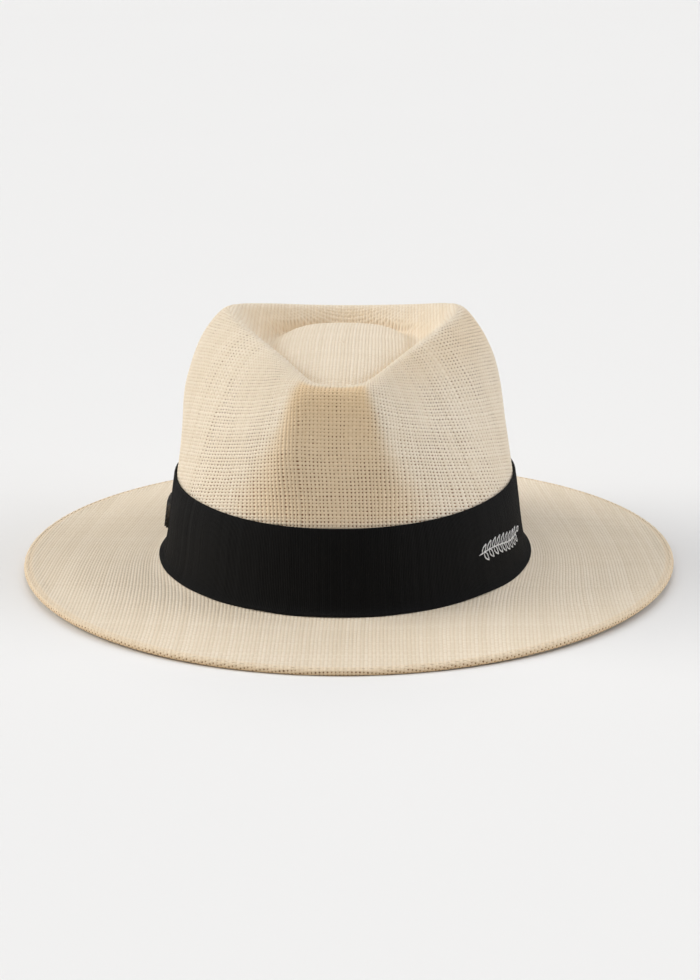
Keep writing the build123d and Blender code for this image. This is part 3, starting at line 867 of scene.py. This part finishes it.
satin = cloth_material("label_satin", (0.62, 0.61, 0.58, 1), (0.80, 0.79, 0.76, 1), 0.03, 30.0, 0.1)
label = slab(
    "size_label_cloth",
    lambda s, t, out: on_wall(-20 + (s - 0.5) * 24, 14.5 + t * 16, out + 0.3 * np.sin(pi * s), BACK_ANGLE),
    -3.45,
    -3.1,
    50,
    36,
)
paint(label, satin)
stand_for(label, "size_label", "hat")


# ---------------------------------------------------------------- the printed sprig
def strokes(name, lines, width, low, high, centre_angle):
    """Printed lines on the band, from points in mm round and up it."""
    points, faces, count = [], [], 0
    for line in lines:
        line = np.asarray(line, float)
        way = unit(np.gradient(line, axis=0))
        aside = np.stack([-way[:, 1], way[:, 0]], -1)
        taper = np.sqrt(np.clip(np.minimum(np.arange(len(line)), np.arange(len(line))[::-1]) / 2, 0.15, 1))
        reach = aside * (width / 2 * taper)[:, None]
        rails = []
        for side, out in ((-1, low), (-1, high), (1, high), (1, low)):
            spot = line + side * reach
            rails.append(on_wall(spot[:, 0], spot[:, 1], out, centre_angle))
        block = np.stack(rails, 1)
        index = count + np.arange(len(line) * 4).reshape(-1, 4)
        beside = np.roll(index, -1, 1)
        faces.append(np.stack([index[:-1], index[1:], beside[1:], beside[:-1]], -1).reshape(-1, 4))
        faces.append(np.stack([index[0], index[-1, ::-1]]))
        points.append(block.reshape(-1, 3))
        count += len(line) * 4
    return make_object(name, np.concatenate(points), faces)


def leaf(root, lean, length, width):
    """The outline of one narrow leaf."""
    t = np.linspace(0, 1, 13)
    swell = np.sin(pi * t**0.8) * width / 2
    upper = np.stack([t * length, swell], -1)
    lower = np.stack([t * length, -swell], -1)
    outline = np.concatenate([upper, lower[::-1]])
    turned = np.array([[cos(lean), sin(lean)], [-sin(lean), cos(lean)]])
    return root + outline @ turned


SPRIG_LENGTH, SPRIG_HEIGHT, SPRIG_ANGLE = 48, 25.3, radians(-28)
LEAF_LENGTH, LEAF_WIDTH, LEAF_LEAN = 6.4, 2.3, radians(48)
sprig_t = np.linspace(0, 1, 60)
stem = np.stack([SPRIG_LENGTH * (sprig_t - 0.5), SPRIG_HEIGHT + 1.1 * np.sin(tau * sprig_t)], -1)
sprig = [stem]
for number in range(9):
    share = 0.06 + number * 0.10
    root = np.array([np.interp(share, sprig_t, stem[:, 0]), np.interp(share, sprig_t, stem[:, 1])])
    size = LEAF_LENGTH * (1 - 0.35 * abs(share - 0.45))
    sprig.append(leaf(root, LEAF_LEAN, size, LEAF_WIDTH))
    sprig.append(leaf(root + [1.6, 0], -LEAF_LEAN, size, LEAF_WIDTH))
sprig.append(leaf(stem[-1], radians(8), 5.0, 2.2))
print_graph = Graph("white_print", 0.55, Specular_IOR_Level=0.4)
speckle = print_graph.noise(print_graph.place(), 900.0, 3.0)
white = print_graph.mix(speckle.step(0.25, 0.6), (0.42, 0.42, 0.43, 1), (0.80, 0.80, 0.80, 1))
motif = strokes("printed_sprig", sprig, 0.62, BAND_OUTER - 0.1, BAND_OUTER + 0.12, SPRIG_ANGLE)
paint(motif, print_graph.finish(white, speckle, 0.0001, 0.5))
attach(motif, "band")

# ---------------------------------------------------------------- the metal parts, kept from the CAD
gunmetal = metal_material("gunmetal", (0.035, 0.033, 0.03, 1), (0.11, 0.10, 0.09, 1), 0.36)
steel = metal_material("drawn_steel", (0.38, 0.38, 0.39, 1), (0.55, 0.55, 0.56, 1), 0.32)
for node, metal in (
    ("badge_plate", gunmetal),
    ("badge_backing_plate", steel),
    ("brim_wire", steel),
    ("brim_wire_joiner", steel),
):
    paint(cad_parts[node], metal)

# ---------------------------------------------------------------- floor, light and camera
floor_mesh = bpy.data.meshes.new("floor")
floor_mesh.from_pydata([(-9, -9, 0), (9, -9, 0), (9, 9, 0), (-9, 9, 0)], [], [(0, 1, 2, 3)])
floor = bpy.data.objects.new("floor", floor_mesh)
bpy.context.scene.collection.objects.link(floor)
paper = Graph("paper_floor", 0.9, Specular_IOR_Level=0.1)
paper_grain = paper.noise(paper.place(), 3.0, 2.0)
paper_tone = paper.mix(paper_grain, (0.845, 0.845, 0.845, 1), (0.855, 0.855, 0.855, 1))
paint(floor, paper.finish(paper_tone))

world = bpy.data.worlds.new("studio")
world.use_nodes = True
world.node_tree.nodes["Background"].inputs["Color"].default_value = (1.0, 1.0, 1.0, 1)
world.node_tree.nodes["Background"].inputs["Strength"].default_value = 0.03
bpy.context.scene.world = world


def sun(name, azimuth, elevation, strength, spread, colour):
    """A soft light from a compass direction: azimuth 0 is from the front, 90 from the right."""
    data = bpy.data.lights.new(name, "SUN")
    data.energy, data.angle, data.color = strength, radians(spread), colour
    item = bpy.data.objects.new(name, data)
    bpy.context.scene.collection.objects.link(item)
    a, e = radians(azimuth), radians(elevation)
    source = Vector((sin(a) * cos(e), -cos(a) * cos(e), sin(e)))
    item.rotation_euler = source.to_track_quat("Z", "Y").to_euler()


sun("key", -94, 29, 1.95, 42, (1.0, 0.975, 0.935))
sun("key_front", -60, 45, 0.45, 40, (1.0, 0.98, 0.95))
sun("fill", 95, 40, 1.05, 40, (0.965, 0.975, 1.0))
sun("fill_low", 75, 12, 0.72, 30, (0.965, 0.975, 1.0))
sun("back", 180, 50, 0.64, 40, (0.99, 0.99, 1.0))
sun("top", 0, 85, 0.64, 40, (1.0, 1.0, 1.0))

scene = bpy.context.scene
scene.view_settings.view_transform = "Standard"
lens = bpy.data.cameras.new("camera")
lens.sensor_width = 36.0
lens.lens = 104.03
camera = bpy.data.objects.new("camera", lens)
scene.collection.objects.link(camera)
AZIMUTH, ELEVATION, DISTANCE, ROLL = radians(1.8), radians(16), 1.450, radians(0.35)
back = Vector((sin(AZIMUTH) * cos(ELEVATION), -cos(AZIMUTH) * cos(ELEVATION), sin(ELEVATION)))
right = Vector((cos(AZIMUTH), sin(AZIMUTH), 0))
aim = Vector((0, 0, 0.038)) + right * 0.0007
camera.location = aim + back * DISTANCE
turned = back.to_track_quat("Z", "Y") @ Quaternion((0, 0, 1), -ROLL)
camera.rotation_euler = turned.to_euler()
scene.camera = camera

bpy.context.view_layer.update()
